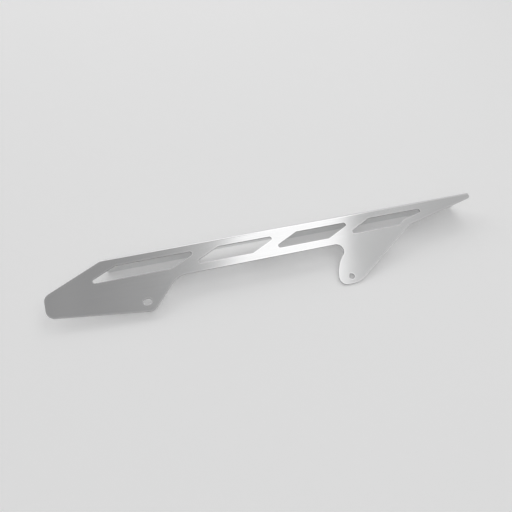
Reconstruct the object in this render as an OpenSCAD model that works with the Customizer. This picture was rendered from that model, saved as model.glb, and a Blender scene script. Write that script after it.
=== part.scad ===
// Motorcycle chain guard: one laser-cut aluminium sheet, folded once along its top edge.
// The face is drawn in its own plane, x along the fold and y down from the fold's outer face,
// and the folded part then lies on the flange's free edge and on the end of the front ear.

/* [Sheet] */
// Thickness of the sheet
sheet_t = 2; // [1.5:0.1:3]
// Inside radius of the fold
fold_r = 1.5; // [1:0.1:3]
// Length of the fold, from the tail's corner to the nose
fold_len = 427.4; // [415:0.2:460]

/* [Flange] */
// Depth of the flange from the outside of the face
flange_d = 35; // [30:0.5:45]
// How far the flange's free edge stops short of the nose
flange_short = 6; // [3:0.5:15]
// Radius of the flange's free corners
flange_r = 3; // [1:0.5:4]
// Start of the relief in the flange's free edge
relief_x = 97; // [60:0.5:110]
// Length of the relief
relief_len = 91; // [60:0.5:130]
// Depth of the relief
relief_d = 8.5; // [8.5:0.5:16]
// Radius of the relief's inner corners
relief_r = 3.5; // [1:0.5:4]

/* [Windows] */
// Band of sheet above the windows, from the fold's outer face
top_band = 9.6; // [7:0.1:14]
// Height of the windows
window_h = 15.3; // [10:0.1:20]
// Band of sheet below the windows, and beside the last one
edge_band = 8.3; // [5:0.1:12]
// Lean of the windows' ends and of the tail's slanted edge
slant = 24.4; // [20:0.1:32]
// Upper left corner of the first window
window_x = 8.5; // [4:0.5:20]
// Length of the first window
long_window = 87.6; // [75:0.2:95]
// Length of the other windows
short_window = 68; // [60:0.2:75]
// Strut between two windows, measured along the fold
strut = 20; // [14:0.5:26]
// Corner radius of the windows
window_r = 2.5; // [1:0.1:3]

/* [Tail] */
// Reach of the tail behind the fold
tail_len = 63.8; // [55:0.2:75]
// Lower corner of the tail's end, below the fold
tail_drop = 51.2; // [46:0.2:60]
// Slope of the tail's lower edge
tail_slope = 8; // [4:0.5:12]
// Lower corner where the tail turns up to the rail
tail_x = 36.6; // [30:0.2:45]
// Lean of the edge from that corner up to the rail
tail_rise = 46; // [40:0.5:60]
// Radius of the tail's three corners
tail_r = 8.8; // [4:0.2:12]
// Radius where the tail runs into the rail
rail_r = 22.5; // [10:0.5:28]

/* [Front ear and nose] */
// Clearance hole for the front bolt
hole_d = 6.5; // [5:0.1:9]
// Distance of the hole from the start of the fold
hole_x = 248.5; // [243:0.5:256]
// Distance of the hole below the fold
hole_drop = 72.8; // [68:0.2:85]
// Sheet below the hole
hole_edge = 8; // [7:0.1:12]
// Sheet between the hole's centre and the ear's sloping edge
hole_side = 11; // [10:0.1:15]
// Slope of that edge
ear_slope = 33.5; // [31:0.5:36]
// Radius where the sloping edge turns into the ear's lower end
ear_toe_r = 28; // [15:0.5:32]
// Distance of the ear's rounded heel behind the hole
heel_x = 6.2; // [4:0.1:9]
// Radius of the heel
heel_r = 8; // [6:0.1:9]
// Radius between the rail and the ear
throat_r = 8; // [5:0.1:9]
// Radius of the ear's bowed back edge, between the throat and the heel
ear_back_r = 43.4; // [38:0.2:60]
// Height of the nose at its end
nose_h = 7.4; // [5.5:0.1:9]
// Slope of the nose's lower edge
nose_slope = 12.3; // [11:0.1:14]
// Radius where the ear's slope turns into the nose
brow_r = 4; // [2:0.5:15]
// Radius of the nose's lower corner
nose_r = 2.5; // [1:0.1:4]

/* [Rear slot] */
// Width of the slot
slot_w = 7; // [5:0.1:9]
// Length of the slot, end to end
slot_len = 9; // [7:0.1:16]
// Distance of the slot from the start of the fold
slot_x = 31.9; // [26:0.2:36]
// Distance of the slot below the fold
slot_drop = 54.5; // [50:0.1:58]

/* [Hidden] */
round = 96;
fold_out = fold_r + sheet_t;
face_h = hole_drop + hole_edge;
rail_h = top_band + window_h + edge_band;
lean = window_h / tan(slant);
over = 0.002; // each arc reaches this far past its chord's ends, so the two always meet
back = 0.05; // the bend's tail end stands this far back from the slanted edge
run_out = ceil(fold_out / tan(slant)); // how far the bend is drawn past the flange, before that cut

// The angle at which the folded part comes to rest, and how high that holds the fold
lie = atan((flange_d - sheet_t) / (face_h - sheet_t));
lift = face_h * sin(lie) + sheet_t * cos(lie);

// A slope's line in the face, as [normal x, normal y, distance]: the sheet lies above it
function slope_line(angle, p) = [sin(angle), cos(angle), sin(angle) * p.x + cos(angle) * p.y];
function moved_in(line, by) = [line[0], line[1], line[2] - by];
function crossing(a, b) = let (d = a[0] * b[1] - a[1] * b[0])
    [(a[2] * b[1] - a[1] * b[2]) / d, (a[0] * b[2] - a[2] * b[0]) / d];
function level(y) = [0, 1, y];

ear_line = moved_in(slope_line(ear_slope, [hole_x, hole_drop]), -hole_side);
nose_line = slope_line(nose_slope, [fold_len, nose_h]);

function unit(v) = v / norm(v);
// The sharp corner whose fillet round c touches at the points p and q
function outer_corner(c, p, q) = let (m = (p + q) / 2 - c) c + m * pow(norm(p - c) / norm(m), 2);

// The ear's back edge: the throat's arc, the bowed arc and the heel's arc, each tangent to the next
throat_c = [hole_x - heel_x, rail_h + throat_r];
heel_c = [hole_x - heel_x, face_h - heel_r];
gap = heel_c.y - throat_c.y;
bow_y = (pow(gap, 2) + pow(ear_back_r + throat_r, 2) - pow(ear_back_r - heel_r, 2)) / (2 * gap);
bow_c = throat_c + [sqrt(pow(ear_back_r + throat_r, 2) - pow(bow_y, 2)), bow_y];
bow_top = throat_c + throat_r * unit(bow_c - throat_c);
bow_end = bow_c + ear_back_r * unit(heel_c - bow_c);

// Corners of the face, clockwise as seen from the front, each with its radius
tail_low = [tail_x, tail_drop + (tail_len + tail_x) * tan(tail_slope)];
face_corners = [
    [-fold_out / tan(slant), fold_out, 0],
    [fold_len, fold_out, 0],
    [fold_len, nose_h, nose_r],
    concat(crossing(ear_line, nose_line), brow_r),
    concat(crossing(ear_line, level(face_h)), ear_toe_r),
    concat(outer_corner(heel_c, [heel_c.x, face_h], bow_end), heel_r),
    concat(outer_corner(bow_c, bow_end, bow_top), ear_back_r),
    concat(outer_corner(throat_c, bow_top, [throat_c.x, rail_h]), throat_r),
    [tail_low.x + (tail_low.y - rail_h) / tan(tail_rise), rail_h, rail_r],
    concat(tail_low, tail_r),
    [-tail_len, tail_drop, tail_r],
    [-tail_len, tail_len * tan(slant), tail_r]
];

// Corners of the flange, along the fold and back from the front of the face
flange_corners = [
    [0, fold_out, 0],
    [fold_len, fold_out, 0],
    [fold_len - flange_short, flange_d, flange_r],
    [relief_x + relief_len, flange_d, flange_r],
    [relief_x + relief_len, flange_d - relief_d, relief_r],
    [relief_x, flange_d - relief_d, relief_r],
    [relief_x, flange_d, flange_r],
    [0, flange_d, flange_r]
];

function window_corners(x, length) = [
    [x, top_band, window_r],
    [x + length, top_band, window_r],
    [x + length - lean, top_band + window_h, window_r],
    [x - lean, top_band + window_h, window_r]
];
inner_ear = moved_in(ear_line, edge_band);
inner_nose = moved_in(nose_line, edge_band);
second_x = window_x + long_window + strut;
third_x = second_x + short_window + strut;
last_x = third_x + short_window + strut;
last_window = [
    [last_x, top_band, window_r],
    concat(crossing(inner_nose, level(top_band)), window_r),
    concat(crossing(inner_ear, inner_nose), 0),
    concat(crossing(inner_ear, level(top_band + window_h)), window_r),
    [last_x - lean, top_band + window_h, window_r]
];

// The two ends and the centre of the arc that rounds corner i of a list
function at(c, i) = let (p = c[(i + len(c)) % len(c)]) [p.x, p.y];
function toward(c, i, j) = unit(at(c, j) - at(c, i));
function reach(c, i) = let (d = toward(c, i, i - 1) * toward(c, i, i + 1)) c[i].z * sqrt((1 + d) / (1 - d));
function arc_start(c, i) = at(c, i) + reach(c, i) * toward(c, i, i - 1);
function arc_end(c, i) = at(c, i) + reach(c, i) * toward(c, i, i + 1);
function arc_centre(c, i) =
    at(c, i) + norm([reach(c, i), c[i].z]) * unit(toward(c, i, i - 1) + toward(c, i, i + 1));
function bulges(c, i) = cross(at(c, i) - at(c, i - 1), at(c, i + 1) - at(c, i)) > 0;
function chords(c) = [for (i = [0:len(c) - 1])
    each c[i].z > 0 ? [arc_start(c, i), arc_end(c, i)] : [at(c, i)]];

// The sliver between the chord and the arc of corner i
module arc_sliver(c, i) intersection() {
    polygon([arc_start(c, i), at(c, i), arc_end(c, i)]);
    translate(arc_centre(c, i)) circle(r = c[i].z + over, $fn = round);
}

// A flat outline with every corner rounded by its own radius
module rounded(c) difference() {
    union() {
        p = chords(c);
        polygon([for (i = [0:len(p) - 1]) if (norm(p[i] - at(p, i - 1)) > 0.001) p[i]]);
        for (i = [0:len(c) - 1]) if (c[i].z > 0 && bulges(c, i)) arc_sliver(c, i);
    }
    for (i = [0:len(c) - 1]) if (c[i].z > 0 && !bulges(c, i)) arc_sliver(c, i);
}

module slot() union() {
    for (side = [-1, 1]) translate([side * (slot_len - slot_w) / 2, 0]) circle(d = slot_w, $fn = round);
    square([slot_len - slot_w, slot_w], center = true);
}

module face() translate([0, 0, -sheet_t]) mirror([0, 1, 0]) linear_extrude(sheet_t) difference() {
    rounded(face_corners);
    rounded(window_corners(window_x, long_window));
    rounded(window_corners(second_x, short_window));
    rounded(window_corners(third_x, short_window));
    rounded(last_window);
    translate([hole_x, hole_drop]) circle(d = hole_d, $fn = round);
    translate([slot_x, slot_drop]) slot();
}

// The bend, ending at the tail on the line of the slanted edge
module fold() difference() {
    translate([-run_out, -fold_out, -fold_out]) rotate([90, 0, 90])
        linear_extrude(fold_len + run_out) intersection() {
            difference() {
                circle(r = fold_out, $fn = round);
                circle(r = fold_r, $fn = round);
            }
            square(2 * fold_out);
        }
    mirror([0, 1, 0]) translate([back, 0, -2 * fold_out]) linear_extrude(3 * fold_out)
        polygon([for (p = [[-1.5, 1.5], [0.5, -0.5], [-1.5, -0.5]]) [p.x / tan(slant), p.y] * fold_out]);
}

module flange() translate([0, -sheet_t, 0]) rotate([-90, 0, 0]) linear_extrude(sheet_t)
    rounded(flange_corners);

module chain_guard() color("gainsboro")
    translate([
        -(fold_len - tail_len) / 2,
        (face_h * cos(lie) - flange_d * sin(lie)) / 2,
        lift
    ]) rotate([lie, 0, 0]) union() {
        face();
        fold();
        flange();
    }

chain_guard();
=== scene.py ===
import math

import bmesh
import bpy
from mathutils import Matrix, Quaternion, Vector
from mathutils.geometry import delaunay_2d_cdt


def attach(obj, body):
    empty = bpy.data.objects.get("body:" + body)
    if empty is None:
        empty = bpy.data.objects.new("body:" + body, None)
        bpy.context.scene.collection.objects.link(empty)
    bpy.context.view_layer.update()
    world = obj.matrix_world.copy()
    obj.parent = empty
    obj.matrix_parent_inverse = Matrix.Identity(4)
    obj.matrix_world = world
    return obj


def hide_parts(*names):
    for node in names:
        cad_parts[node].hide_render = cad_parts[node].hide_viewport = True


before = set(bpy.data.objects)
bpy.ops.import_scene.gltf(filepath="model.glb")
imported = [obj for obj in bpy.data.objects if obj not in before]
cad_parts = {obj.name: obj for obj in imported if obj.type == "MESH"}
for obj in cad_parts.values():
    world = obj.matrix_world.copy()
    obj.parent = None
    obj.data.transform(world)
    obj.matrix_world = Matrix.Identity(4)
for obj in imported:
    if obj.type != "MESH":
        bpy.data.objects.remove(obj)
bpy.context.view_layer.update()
mm = 0.001


# Camera: the photograph's own viewpoint, solved from the face's straight edges
camera = {
    "place": (-0.19642, -0.42238, 0.46114),
    "aim": (-0.02935, 0.00385, 0.02189),
    "roll": 4.15,  # degrees
    "lens": 42.19,
    "sensor": 36,
    "sees": (0.01, 50),  # nearest and farthest, in metres
}


def makeCamera(spec):
    data = bpy.data.cameras.new("studioCamera")
    data.sensor_width = spec["sensor"]
    data.lens = spec["lens"]
    data.clip_start, data.clip_end = spec["sees"]
    obj = bpy.data.objects.new("studioCamera", data)
    bpy.context.scene.collection.objects.link(obj)
    place, aim = Vector(spec["place"]), Vector(spec["aim"])
    roll = Quaternion((0, 0, 1), math.radians(spec["roll"]))
    obj.location = place
    obj.rotation_mode = "QUATERNION"
    obj.rotation_quaternion = (aim - place).to_track_quat("-Z", "Y") @ roll
    bpy.context.scene.camera = obj


makeCamera(camera)
print("camera placed")


# Guard: every size in millimetres, in the flat sheet, x along the fold and y down the face
guard = {
    "thickness": 2.0,
    "foldOuter": 3.5,
    "foldLength": 427.4,
    "flangeDepth": 35.0,
    "flangeShort": 6.0,  # how far its free edge stops before the nose
    "flangeCorner": 3.0,
    "reliefStart": 97.0,
    "reliefLength": 91.0,
    "reliefDepth": 8.5,
    "reliefCorner": 3.5,
    "topBand": 9.6,
    "windowHeight": 15.3,
    "edgeBand": 8.3,
    "slant": 24.4,  # degrees
    "windowStart": 8.5,
    "longWindow": 87.6,
    "shortWindow": 68.0,
    "strut": 20.0,
    "windowCorner": 2.5,
    "tailLength": 63.8,
    "tailDrop": 51.2,
    "tailSlope": 8.0,
    "tailX": 36.6,
    "tailRise": 46.0,
    "tailCorner": 8.8,
    "railCorner": 22.5,
    "holeWidth": 6.5,
    "holeX": 248.5,
    "holeDrop": 72.8,
    "holeEdge": 8.0,
    "holeSide": 11.0,
    "earSlope": 33.5,
    "earToe": 28.0,
    "heelX": 6.2,
    "heelCorner": 8.0,
    "throatCorner": 8.0,
    "earBack": 43.4,
    "noseHeight": 7.4,
    "noseSlope": 12.3,
    "browCorner": 4.0,
    "noseCorner": 2.5,
    "slotWidth": 7.0,
    "slotLength": 9.0,
    "slotX": 31.9,
    "slotDrop": 54.5,
    "edgeBreak": 0.28,  # width of the deburred edge
    "edgeSteps": 2,
    "foldRows": 18,
    "holeSides": 64,
    "arcStep": 5.0,  # degrees
    "arcLength": 1.2,  # longest chord along an arc
    "closest": 0.001,  # outline points nearer than this are one
    "flatWithin": 0.1,  # degrees, for joining the skin's triangles
}
skinSlot, wallSlot, edgeSlot = 0, 1, 2  # the sheet's three finishes


def roundCorner(before, corner, after, radius):
    if radius == 0:
        return [corner]
    a, b = (before - corner).normalized(), (after - corner).normalized()
    reach = radius * math.sqrt((1 + a.dot(b)) / (1 - a.dot(b)))
    centre = corner + (a + b).normalized() * math.hypot(reach, radius)
    start, end = corner + a * reach - centre, corner + b * reach - centre
    turn = math.atan2(start.cross(end), start.dot(end))
    steps = math.ceil(max(
        abs(math.degrees(turn)) / guard["arcStep"],
        abs(turn) * radius / guard["arcLength"],
    ))
    return [centre + Matrix.Rotation(turn * i / steps, 2) @ start for i in range(steps + 1)]


def roundAll(corners):
    # each corner is (x, y, radius)
    points = []
    for i, (x, y, radius) in enumerate(corners):
        before, after = corners[i - 1], corners[(i + 1) % len(corners)]
        for point in roundCorner(Vector(before[:2]), Vector((x, y)), Vector(after[:2]), radius):
            if not points or (point - points[-1]).length > guard["closest"]:
                points.append(point)
    return points


def slopeLine(angle, point):
    # (normal x, normal y, distance); the sheet is on the smaller side
    normal = Vector((math.sin(angle), math.cos(angle)))
    return normal.x, normal.y, normal.dot(point)


def shifted(line, by):
    return line[0], line[1], line[2] + by


def crossing(a, b):
    d = a[0] * b[1] - a[1] * b[0]
    return (a[2] * b[1] - a[1] * b[2]) / d, (a[0] * b[2] - a[2] * b[0]) / d


def outerCorner(centre, p, q):
    # the sharp corner whose fillet round centre touches at p and q
    middle = (p + q) / 2 - centre
    return centre + middle * ((p - centre).length / middle.length) ** 2


slant = math.radians(guard["slant"])
windowLow = guard["topBand"] + guard["windowHeight"]
railLow = windowLow + guard["edgeBand"]
faceHeight = guard["holeDrop"] + guard["holeEdge"]
lieAngle = math.atan(
    (guard["flangeDepth"] - guard["thickness"]) / (faceHeight - guard["thickness"])
)
earLine = slopeLine(math.radians(guard["earSlope"]), Vector((guard["holeX"], guard["holeDrop"])))
earLine = shifted(earLine, guard["holeSide"])
noseLine = slopeLine(
    math.radians(guard["noseSlope"]), Vector((guard["foldLength"], guard["noseHeight"]))
)


def earBackCorners():
    # three arcs in a row, each tangent to the next: throat, bowed back, heel
    x = guard["holeX"] - guard["heelX"]
    throat = Vector((x, railLow + guard["throatCorner"]))
    heel = Vector((x, faceHeight - guard["heelCorner"]))
    toThroat = guard["earBack"] + guard["throatCorner"]
    toHeel = guard["earBack"] - guard["heelCorner"]
    gap = heel.y - throat.y
    down = (gap ** 2 + toThroat ** 2 - toHeel ** 2) / (2 * gap)
    bow = throat + Vector((math.sqrt(toThroat ** 2 - down ** 2), down))
    top = throat + (bow - throat).normalized() * guard["throatCorner"]
    end = bow + (heel - bow).normalized() * guard["earBack"]
    return [
        (*outerCorner(heel, Vector((x, faceHeight)), end), guard["heelCorner"]),
        (*outerCorner(bow, end, top), guard["earBack"]),
        (*outerCorner(throat, top, Vector((x, railLow))), guard["throatCorner"]),
    ]


def faceCorners():
    g = guard
    tailFall = math.tan(math.radians(g["tailSlope"]))
    tailLow = g["tailDrop"] + (g["tailLength"] + g["tailX"]) * tailFall
    railX = g["tailX"] + (tailLow - railLow) / math.tan(math.radians(g["tailRise"]))
    return [
        (g["foldLength"], g["foldOuter"], 0),
        (g["foldLength"], g["noseHeight"], g["noseCorner"]),
        (*crossing(earLine, noseLine), g["browCorner"]),
        (*crossing(earLine, (0, 1, faceHeight)), g["earToe"]),
        *earBackCorners(),
        (railX, railLow, g["railCorner"]),
        (g["tailX"], tailLow, g["tailCorner"]),
        (-g["tailLength"], g["tailDrop"], g["tailCorner"]),
        (-g["tailLength"], g["tailLength"] * math.tan(slant), g["tailCorner"]),
        (-g["foldOuter"] / math.tan(slant), g["foldOuter"], 0),
    ]


def flangeCorners():
    # along the fold, and back from the front of the face
    g = guard
    depth = g["flangeDepth"]
    reliefEnd = g["reliefStart"] + g["reliefLength"]
    inner = depth - g["reliefDepth"]
    return [
        (0, g["foldOuter"], 0),
        (0, depth, g["flangeCorner"]),
        (g["reliefStart"], depth, g["flangeCorner"]),
        (g["reliefStart"], inner, g["reliefCorner"]),
        (reliefEnd, inner, g["reliefCorner"]),
        (reliefEnd, depth, g["flangeCorner"]),
        (g["foldLength"] - g["flangeShort"], depth, g["flangeCorner"]),
        (g["foldLength"], g["foldOuter"], 0),
    ]


def windowHoles():
    g = guard
    lean = g["windowHeight"] / math.tan(slant)
    holes, x = [], g["windowStart"]
    for length in (g["longWindow"], g["shortWindow"], g["shortWindow"]):
        holes.append([
            (x, g["topBand"], g["windowCorner"]),
            (x + length, g["topBand"], g["windowCorner"]),
            (x + length - lean, windowLow, g["windowCorner"]),
            (x - lean, windowLow, g["windowCorner"]),
        ])
        x += length + g["strut"]
    innerEar, innerNose = shifted(earLine, -g["edgeBand"]), shifted(noseLine, -g["edgeBand"])
    holes.append([
        (x, g["topBand"], g["windowCorner"]),
        (*crossing(innerNose, (0, 1, g["topBand"])), g["windowCorner"]),
        (*crossing(innerEar, innerNose), 0),
        (*crossing(innerEar, (0, 1, windowLow)), g["windowCorner"]),
        (x - lean, windowLow, g["windowCorner"]),
    ])
    return [roundAll(hole) for hole in holes]


def roundHole(x, y, width, length):
    # a circle, or a slot when its length is more than its width
    count, radius, points = guard["holeSides"], width / 2, []
    for i in range(count):
        angle = 2 * math.pi * (i + 0.5) / count
        side = math.copysign(length / 2 - radius, math.cos(angle))
        points.append(Vector((x + side + math.cos(angle) * radius, y + math.sin(angle) * radius)))
    return points


def foldPoints(endX):
    # flat-sheet points of the bend's rows at one end, from the face to the flange;
    # endX gives where the bend ends at a distance down the face
    rows = guard["foldRows"]
    points = []
    for row in range(1, rows):
        angle = math.pi / 2 * row / rows
        y = guard["foldOuter"] * (1 - math.sin(angle))
        points.append(Vector((endX(y), guard["foldOuter"] * (1 - angle))))
    return points


def inside(point, outline):
    # true where a line from the point to the right crosses the outline an odd number of times
    hit = False
    for a, b in zip(outline, outline[1:] + outline[:1]):
        if (a.y > point.y) != (b.y > point.y):
            if point.x < a.x + (point.y - a.y) * (b.x - a.x) / (b.y - a.y):
                hit = not hit
    return hit


def place(point, depth):
    # flat-sheet point to the folded guard as it lies, depth millimetres in from the outside
    x, y = point
    outer = guard["foldOuter"]
    flangeStart = outer * (1 - math.pi / 2)
    if y >= outer:
        down, back = y, depth
    elif y >= flangeStart:
        angle = 1 - y / outer
        down = outer - (outer - depth) * math.sin(angle)
        back = outer - (outer - depth) * math.cos(angle)
    else:
        down, back = depth, outer + flangeStart - y
    s, c = math.sin(lieAngle), math.cos(lieAngle)
    return Vector((
        x - (guard["foldLength"] - guard["tailLength"]) / 2,
        (faceHeight * c - guard["flangeDepth"] * s) / 2 - down * c + back * s,
        faceHeight * s + guard["thickness"] * c - down * s - back * c,
    )) * mm


def makeSheet():
    outer = guard["foldOuter"]
    flangeStart = outer * (1 - math.pi / 2)
    face = roundAll(faceCorners())
    flange = [Vector((p.x, flangeStart + outer - p.y)) for p in roundAll(flangeCorners())]
    tailEnd = foldPoints(lambda y: -y / math.tan(slant))
    noseEnd = foldPoints(lambda y: guard["foldLength"])
    outline = face + tailEnd + flange + noseEnd[::-1]
    holes = windowHoles()
    g = guard
    holes.append(roundHole(g["holeX"], g["holeDrop"], g["holeWidth"], g["holeWidth"]))
    holes.append(roundHole(g["slotX"], g["slotDrop"], g["slotWidth"], g["slotLength"]))

    points, edges = [], []
    for loop in [outline] + holes:
        first = len(points)
        points += loop
        edges += [(first + i, first + (i + 1) % len(loop)) for i in range(len(loop))]
    left = [len(face) - 1 + row for row in range(guard["foldRows"] + 1)]
    right = [0] + [len(outline) - row for row in range(1, guard["foldRows"] + 1)]
    edges += list(zip(left, right))

    hullTriangles, tolerance = 0, 1e-5
    flat, _, triangles, *_ = delaunay_2d_cdt(points, edges, [], hullTriangles, tolerance)
    kept = []
    for triangle in triangles:
        middle = sum((flat[i] for i in triangle), Vector((0, 0))) / 3
        if inside(middle, outline) and not any(inside(middle, hole) for hole in holes):
            kept.append(triangle)

    mesh = bmesh.new()
    skins = [
        [mesh.verts.new(place(point, depth)) for point in flat]
        for depth in (0, guard["thickness"])
    ]
    for triangle in kept:
        corners = [skins[0][i] for i in triangle]
        a, b, c = (flat[i] for i in triangle)
        if (b - a).cross(c - a) > 0:
            corners.reverse()
        mesh.faces.new(corners)
    rims = [edge.link_loops[0] for edge in mesh.edges if edge.is_boundary]
    rims = [(loop.vert, loop.link_loop_next.vert) for loop in rims]
    back = {front: rear for front, rear in zip(*skins)}
    for face in list(mesh.faces):
        mesh.faces.new([back[v] for v in reversed(face.verts)])
    for a, b in rims:
        mesh.faces.new((b, a, back[a], back[b])).material_index = wallSlot
    loose = [v for v in mesh.verts if not v.link_faces]
    bmesh.ops.delete(mesh, geom=loose, context="VERTS")

    inner = [e for e in mesh.edges if all(f.material_index == skinSlot for f in e.link_faces)]
    bmesh.ops.dissolve_limit(mesh, angle_limit=math.radians(guard["flatWithin"]), edges=inner,
                             verts=[], delimit={"MATERIAL"})
    rim = [e for e in mesh.edges if len({f.material_index for f in e.link_faces}) == 2]
    bmesh.ops.bevel(mesh, geom=rim, offset=guard["edgeBreak"] * mm, offset_type="OFFSET",
                    segments=guard["edgeSteps"], profile=0.5, affect="EDGES",
                    clamp_overlap=True, material=edgeSlot)
    for face in mesh.faces:
        face.smooth = True
    data = bpy.data.meshes.new("guardSheet")
    mesh.to_mesh(data)
    mesh.free()
    obj = bpy.data.objects.new("guardSheet", data)
    bpy.context.scene.collection.objects.link(obj)
    obj.modifiers.new("flatFaces", "WEIGHTED_NORMAL").mode = "FACE_AREA"
    return obj


guardSheet = makeSheet()
print("sheet folded:", len(guardSheet.data.polygons), "faces")


# Finishes: brushed along the fold, cut walls darker and duller than the faces with laser lines,
# edges broken by hand.
# Wear and nicks say how much of each shows, and a fineness over 1 makes the grain smaller.
sheetFinish = {
    "dark": (0.775, 0.776, 0.778, 1),
    "light": (0.815, 0.816, 0.818, 1),
    "worn": (0.95, 0.951, 0.953, 1),
    "roughness": (0.125, 0.155),
    "relief": 0.05,
    "fineness": 1.0,
    "wear": 1.0,
    "nicks": 0.0,
}
wallFinish = {
    "dark": (0.42, 0.42, 0.425, 1),
    "light": (0.64, 0.64, 0.645, 1),
    "worn": (0.64, 0.64, 0.645, 1),
    "roughness": (0.38, 0.55),
    "relief": 0.2,
    "fineness": 1.0,
    "wear": 0.0,
    "nicks": 0.5,
}
edgeFinish = {
    "dark": (0.86, 0.861, 0.863, 1),
    "light": (0.94, 0.941, 0.943, 1),
    "worn": (0.95, 0.951, 0.953, 1),
    "roughness": (0.2, 0.3),
    "relief": 0.05,
    "fineness": 1.6,
    "wear": 0.4,
    "nicks": 3.0,
}


def addNode(tree, kind, **values):
    node = tree.nodes.new(kind)
    for name, value in values.items():
        setattr(node, name, value)
    return node


def join(tree, source, target):
    # another node's output is linked, a plain value is set
    if isinstance(source, bpy.types.NodeSocket):
        tree.links.new(source, target)
    else:
        target.default_value = source


def calc(tree, operation, a, b):
    node = addNode(tree, "ShaderNodeMath", operation=operation)
    join(tree, a, node.inputs[0])
    join(tree, b, node.inputs[1])
    return node.outputs["Value"]


def mapped(tree, place, size=(1, 1, 1), turn=(0, 0, 0)):
    node = addNode(tree, "ShaderNodeMapping")
    join(tree, place, node.inputs["Vector"])
    join(tree, size, node.inputs["Scale"])
    join(tree, turn, node.inputs["Rotation"])
    return node.outputs["Vector"]


def noise(tree, place, size, detail=2, turn=(0, 0, 0)):
    node = addNode(tree, "ShaderNodeTexNoise")
    join(tree, mapped(tree, place, size, turn), node.inputs["Vector"])
    join(tree, 1, node.inputs["Scale"])
    join(tree, detail, node.inputs["Detail"])
    return node.outputs["Fac"]


def spread(tree, value, low, high, outLow=0, outHigh=1):
    node = addNode(tree, "ShaderNodeMapRange")
    join(tree, value, node.inputs["Value"])
    join(tree, low, node.inputs["From Min"])
    join(tree, high, node.inputs["From Max"])
    join(tree, outLow, node.inputs["To Min"])
    join(tree, outHigh, node.inputs["To Max"])
    return node.outputs["Result"]


def blend(tree, amount, dark, light):
    node = addNode(tree, "ShaderNodeMix", data_type="RGBA")
    colours = [socket for socket in node.inputs if socket.type == "RGBA"]
    join(tree, amount, node.inputs["Factor"])
    join(tree, dark, colours[0])
    join(tree, light, colours[1])
    return next(socket for socket in node.outputs if socket.type == "RGBA")


def newGroup(name, numbers, outputs):
    # the place on the sheet comes in, in metres, and any plain numbers
    tree = bpy.data.node_groups.new(name, "ShaderNodeTree")
    tree.interface.new_socket(name="Place", in_out="INPUT", socket_type="NodeSocketVector")
    for socket in numbers:
        tree.interface.new_socket(name=socket, in_out="INPUT", socket_type="NodeSocketFloat")
    for socket in outputs:
        tree.interface.new_socket(name=socket, in_out="OUTPUT", socket_type="NodeSocketFloat")
    entry, out = addNode(tree, "NodeGroupInput"), addNode(tree, "NodeGroupOutput")
    return tree, entry.outputs, out.inputs


def finer(tree, entry):
    node = addNode(tree, "ShaderNodeVectorMath", operation="SCALE")
    join(tree, entry["Place"], node.inputs[0])
    join(tree, entry["Fineness"], node.inputs["Scale"])
    return node.outputs["Vector"]


def mixed(tree, a, b, share):
    # share is b's part of the whole
    first = calc(tree, "MULTIPLY", a, 1 - share)
    return calc(tree, "ADD", first, calc(tree, "MULTIPLY", b, share))


# Texture sizes are in spots per metre along the fold, across it, and through the sheet.
# A range gives the noise values at which a mark starts and is full.
brushingLook = {
    "fineLines": (18, 2400, 2400),
    "longLines": (9, 1100, 1100),
    "longShare": 0.3,
    "toneRange": (0.3, 0.7),
}


def makeBrushing(look):
    # fine lines along the fold
    tree, entry, out = newGroup("brushing", ["Fineness"], ["Tone", "Relief"])
    place = finer(tree, entry)
    fine, long = noise(tree, place, look["fineLines"]), noise(tree, place, look["longLines"])
    lines = mixed(tree, fine, long, look["longShare"])
    join(tree, spread(tree, lines, *look["toneRange"]), out["Tone"])
    join(tree, lines, out["Relief"])
    return tree


handlingLook = {
    "smears": (16, 26, 26),
    "smearDetail": 4,
    "smearRange": (0.48, 0.72),
    "scratches": ((26, 1200, 1200), (34, 1500, 1500)),
    "scratchTurns": (0.55, -0.8),  # radians off the grain, in the face
    "scratchRange": (0.745, 0.78),
    "nicks": (420, 420, 420),
    "nickRange": (0.66, 0.76),
}


def makeHandling(look):
    # faint smears from fingers, hairline scratches across the grain, and small nicks
    tree, entry, out = newGroup("handling", [], ["Smear", "Scratch", "Nick"])
    place = entry["Place"]
    smears = noise(tree, place, look["smears"], look["smearDetail"])
    join(tree, spread(tree, smears, *look["smearRange"]), out["Smear"])
    scratches = 0
    for size, turn in zip(look["scratches"], look["scratchTurns"]):
        lines = noise(tree, place, size, detail=1, turn=(0, 0, turn))
        thin = spread(tree, lines, *look["scratchRange"])
        scratches = calc(tree, "MAXIMUM", scratches, thin)
    join(tree, scratches, out["Scratch"])
    nicks = noise(tree, place, look["nicks"], detail=1)
    join(tree, spread(tree, nicks, *look["nickRange"]), out["Nick"])
    return tree


laserLook = {
    "lines": (2600, 2600, 220),
    "patches": (120, 120, 120),
    "patchDetail": 3,
    "patchShare": 0.4,
    "toneRange": (0.35, 0.65),
}


def makeLaserLines(look):
    # the striations that a laser leaves, straight through the sheet
    tree, entry, out = newGroup("laserLines", ["Fineness"], ["Tone", "Relief"])
    place = finer(tree, entry)
    lines = noise(tree, place, look["lines"])
    patches = noise(tree, place, look["patches"], look["patchDetail"])
    tone = mixed(tree, lines, patches, look["patchShare"])
    join(tree, spread(tree, tone, *look["toneRange"]), out["Tone"])
    join(tree, lines, out["Relief"])
    return tree


wearLook = {
    "patches": (110, 260, 260),
    "patchDetail": 3,
    "evenLevel": 0.5,  # the noise's middle
    "edgeRange": (0.95, 0.6),  # how much metal lies round a place where wear starts and is full
}


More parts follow.
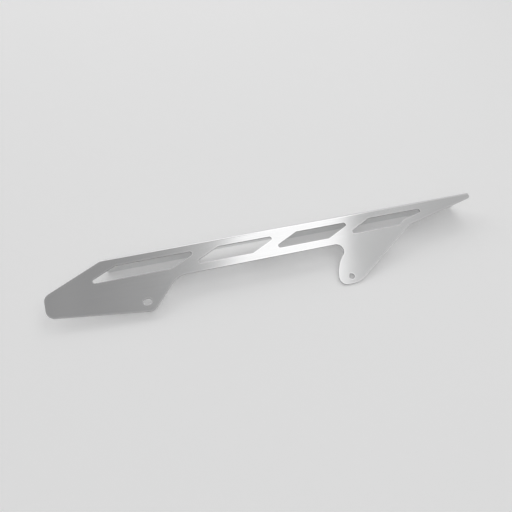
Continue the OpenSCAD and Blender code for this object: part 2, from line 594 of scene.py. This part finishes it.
def makeEdgeWear(look):
    # the grain wears away beside the edges, unevenly; Metal falls from 1 to a half at an edge
    tree, entry, out = newGroup("edgeWear", ["Metal", "Unevenness"], ["Wear"])
    patches = noise(tree, entry["Place"], look["patches"], look["patchDetail"])
    patches = calc(tree, "SUBTRACT", patches, look["evenLevel"])
    uneven = calc(tree, "MULTIPLY", patches, entry["Unevenness"])
    metal = calc(tree, "ADD", entry["Metal"], uneven)
    join(tree, spread(tree, metal, *look["edgeRange"]), out["Wear"])
    return tree


brushing, laserLines = makeBrushing(brushingLook), makeLaserLines(laserLook)
handling, edgeWear = makeHandling(handlingLook), makeEdgeWear(wearLook)

# How strongly the marks show in every finish
markStrength = {
    "smearRoughness": 0.03,
    "scratchPolish": 0.05,
    "scratchDepth": 0.35,
    "wearWidth": 1.6,  # millimetres in from an edge, less than the sheet's thickness
    "wearRoughness": 0.04,
    "wearUnevenness": 0.3,
    "wearSamples": 8,
    "reliefHeight": 0.05,  # millimetres at a relief of 1
}


def makeFinish(name, texture, spec, strength):
    material = bpy.data.materials.new(name)
    material.use_nodes = True
    tree = material.node_tree
    shader = tree.nodes["Principled BSDF"]
    shader.inputs["Metallic"].default_value = 1

    # x runs along the fold and z leaves the face
    where = addNode(tree, "ShaderNodeTexCoord").outputs["Object"]
    place = mapped(tree, where, turn=(-lieAngle, 0, 0))
    grain = addNode(tree, "ShaderNodeGroup", node_tree=texture)
    marks = addNode(tree, "ShaderNodeGroup", node_tree=handling)
    edges = addNode(tree, "ShaderNodeGroup", node_tree=edgeWear)
    for node in (grain, marks, edges):
        join(tree, place, node.inputs["Place"])
    join(tree, spec["fineness"], grain.inputs["Fineness"])
    join(tree, strength["wearUnevenness"], edges.inputs["Unevenness"])
    behind = addNode(tree, "ShaderNodeAmbientOcclusion", inside=True, only_local=True,
                     samples=strength["wearSamples"])
    join(tree, strength["wearWidth"] * mm, behind.inputs["Distance"])
    join(tree, behind.outputs["AO"], edges.inputs["Metal"])
    tone, scratch = grain.outputs["Tone"], marks.outputs["Scratch"]
    wear = calc(tree, "MULTIPLY", edges.outputs["Wear"], spec["wear"])

    metal = blend(tree, tone, spec["dark"], spec["light"])
    join(tree, blend(tree, wear, metal, spec["worn"]), shader.inputs["Base Color"])

    dull, bright = max(spec["roughness"]), min(spec["roughness"])
    rough = spread(tree, tone, 0, 1, dull, bright)
    for mark, change in ((marks.outputs["Smear"], strength["smearRoughness"]),
                         (scratch, -strength["scratchPolish"]),
                         (wear, strength["wearRoughness"])):
        rough = calc(tree, "ADD", rough, calc(tree, "MULTIPLY", mark, change))
    join(tree, rough, shader.inputs["Roughness"])

    height = grain.outputs["Relief"]
    for mark, depth in ((scratch, strength["scratchDepth"]),
                        (marks.outputs["Nick"], spec["nicks"])):
        height = calc(tree, "SUBTRACT", height, calc(tree, "MULTIPLY", mark, depth))
    bump = addNode(tree, "ShaderNodeBump")
    join(tree, spec["relief"], bump.inputs["Strength"])
    join(tree, strength["reliefHeight"] * mm, bump.inputs["Distance"])
    join(tree, height, bump.inputs["Height"])
    join(tree, bump.outputs["Normal"], shader.inputs["Normal"])
    return material


brushedSheet = makeFinish("brushedSheet", brushing, sheetFinish, markStrength)
laserWall = makeFinish("laserWall", laserLines, wallFinish, markStrength)
brokenEdge = makeFinish("brokenEdge", brushing, edgeFinish, markStrength)
for material in (brushedSheet, laserWall, brokenEdge):  # in the order of the slots
    guardSheet.data.materials.append(material)
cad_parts["chain_guard"].data.materials.clear()
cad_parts["chain_guard"].data.materials.append(brushedSheet)
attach(guardSheet, "root")
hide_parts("chain_guard")
print("finishes on")


# Studio: a pale table in an even room, a cloth lit from behind overhead, and three softboxes
studio = {
    "floorColour": (0.86, 0.86, 0.86, 1),
    "floorRoughness": 0.9,
    "floorShine": 0.2,
    "floorGlow": 0.19,  # for the camera and for reflections only
    "floorRadius": 5.0,
    "sweepRadius": 2.0,
    "sweepSteps": 12,
    "wallHeight": 4.0,
    "wallSides": 96,
    "roomColour": (0.325, 0.325, 0.326, 1),
}

# Lamps: metres, watts, degrees, and how bright each is across its width
overheadCloth = {
    "place": (0.5, 0.0, 1.3),
    "aim": (0.5, 0.0, 0.0),
    "size": (1.6, 2.4),
    "turn": -11,  # so that its edge shows upright in the face
    "power": 11.8,
    "tones": ((0, 0.06), (0.06, 0.01), (0.18, 0.06), (0.255, 0.15), (0.295, 0.24), (0.33, 0.5),
              (0.353, 0.93), (0.5, 0.94), (0.589, 1), (0.593, 0.2), (0.65, 0.2), (0.69, 0.29),
              (0.72, 0.29), (0.79, 0.2), (1, 0.2)),
}
backSoftbox = {
    "place": (0.35, 1.5, 1.1),
    "aim": (0, 0, 0.02),
    "size": (3.0, 1.8),
    "turn": 0,
    "power": 13.0,
    "tones": ((0, 0.15), (0.33, 0.5), (0.47, 0.9), (0.56, 0.9), (0.78, 0.4), (1, 0.15)),
}
sideSoftbox = {
    "place": (-1.3, 1.2, 1.2),
    "aim": (0, 0, 0),
    "size": (1.8, 1.4),
    "turn": 0,
    "power": 8.0,
    "tones": ((0, 0.3), (0.3, 1), (0.7, 1), (1, 0.3)),
}
frontSoftbox = {
    "place": (-0.8, -1.3, 1.2),
    "aim": (0, 0, 0),
    "size": (1.8, 1.2),
    "turn": 0,
    "power": 6.5,
    "tones": ((0, 0.3), (0.5, 1), (1, 0.3)),
}


def makeLamp(name, spec):
    data = bpy.data.lights.new(name, "AREA")
    data.shape = "RECTANGLE"
    data.size, data.size_y = spec["size"]
    data.energy = spec["power"]
    obj = bpy.data.objects.new(name, data)
    bpy.context.scene.collection.objects.link(obj)
    place, aim = Vector(spec["place"]), Vector(spec["aim"])
    obj.location = place
    obj.rotation_mode = "QUATERNION"
    turn = Quaternion((0, 0, 1), math.radians(spec["turn"]))
    obj.rotation_quaternion = (aim - place).to_track_quat("-Z", "Y") @ turn
    data.use_nodes = True
    tree = data.node_tree
    across = addNode(tree, "ShaderNodeSeparateXYZ")
    join(tree, addNode(tree, "ShaderNodeNewGeometry").outputs["Parametric"], across.inputs[0])
    ramp = addNode(tree, "ShaderNodeValToRGB")
    marks = ramp.color_ramp.elements
    while len(marks) < len(spec["tones"]):
        marks.new(0.5)  # moved into place below
    for mark, (position, tone) in zip(marks, spec["tones"]):
        mark.position = position
        mark.color = (tone, tone, tone, 1)
    join(tree, across.outputs["X"], ramp.inputs["Fac"])
    join(tree, ramp.outputs["Color"], tree.nodes["Emission"].inputs["Color"])


def makeFloor():
    # a round table that sweeps up into a wall, so that no view sees past its edge
    radius, sweep = studio["floorRadius"], studio["sweepRadius"]
    steps, sides = studio["sweepSteps"], studio["wallSides"]
    profile = []
    for step in range(steps + 1):
        angle = math.pi / 2 * step / steps
        profile.append((radius + sweep * math.sin(angle), sweep * (1 - math.cos(angle))))
    profile.append((radius + sweep, studio["wallHeight"]))
    turns = [2 * math.pi * side / sides for side in range(sides)]
    mesh = bmesh.new()
    rings = [[mesh.verts.new((r * math.cos(turn), r * math.sin(turn), z)) for turn in turns]
             for r, z in profile]
    mesh.faces.new(rings[0])
    for low, high in zip(rings, rings[1:]):
        for i in range(sides):
            mesh.faces.new((low[i], low[i - 1], high[i - 1], high[i])).smooth = True
    data = bpy.data.meshes.new("table")
    mesh.to_mesh(data)
    mesh.free()
    obj = bpy.data.objects.new("table", data)
    bpy.context.scene.collection.objects.link(obj)
    material = bpy.data.materials.new("paleTable")
    material.use_nodes = True
    tree = material.node_tree
    shader = tree.nodes["Principled BSDF"]
    shader.inputs["Base Color"].default_value = studio["floorColour"]
    shader.inputs["Roughness"].default_value = studio["floorRoughness"]
    shader.inputs["Specular IOR Level"].default_value = studio["floorShine"]
    path = addNode(tree, "ShaderNodeLightPath")
    seen = path.outputs["Is Camera Ray"]
    for ray in ("Is Glossy Ray", "Is Transmission Ray"):
        seen = calc(tree, "MAXIMUM", seen, path.outputs[ray])
    shader.inputs["Emission Color"].default_value = studio["floorColour"]
    glow = calc(tree, "MULTIPLY", seen, studio["floorGlow"])
    join(tree, glow, shader.inputs["Emission Strength"])
    data.materials.append(material)


def makeRoom():
    world = bpy.data.worlds.new("room")
    bpy.context.scene.world = world
    world.use_nodes = True
    background = world.node_tree.nodes["Background"]
    background.inputs["Color"].default_value = studio["roomColour"]
    background.inputs["Strength"].default_value = 1


makeFloor()
makeRoom()
makeLamp("overheadCloth", overheadCloth)
makeLamp("backSoftbox", backSoftbox)
makeLamp("sideSoftbox", sideSoftbox)
makeLamp("frontSoftbox", frontSoftbox)
bpy.context.scene.view_settings.view_transform = "Standard"
print("studio lit")

bpy.context.view_layer.update()
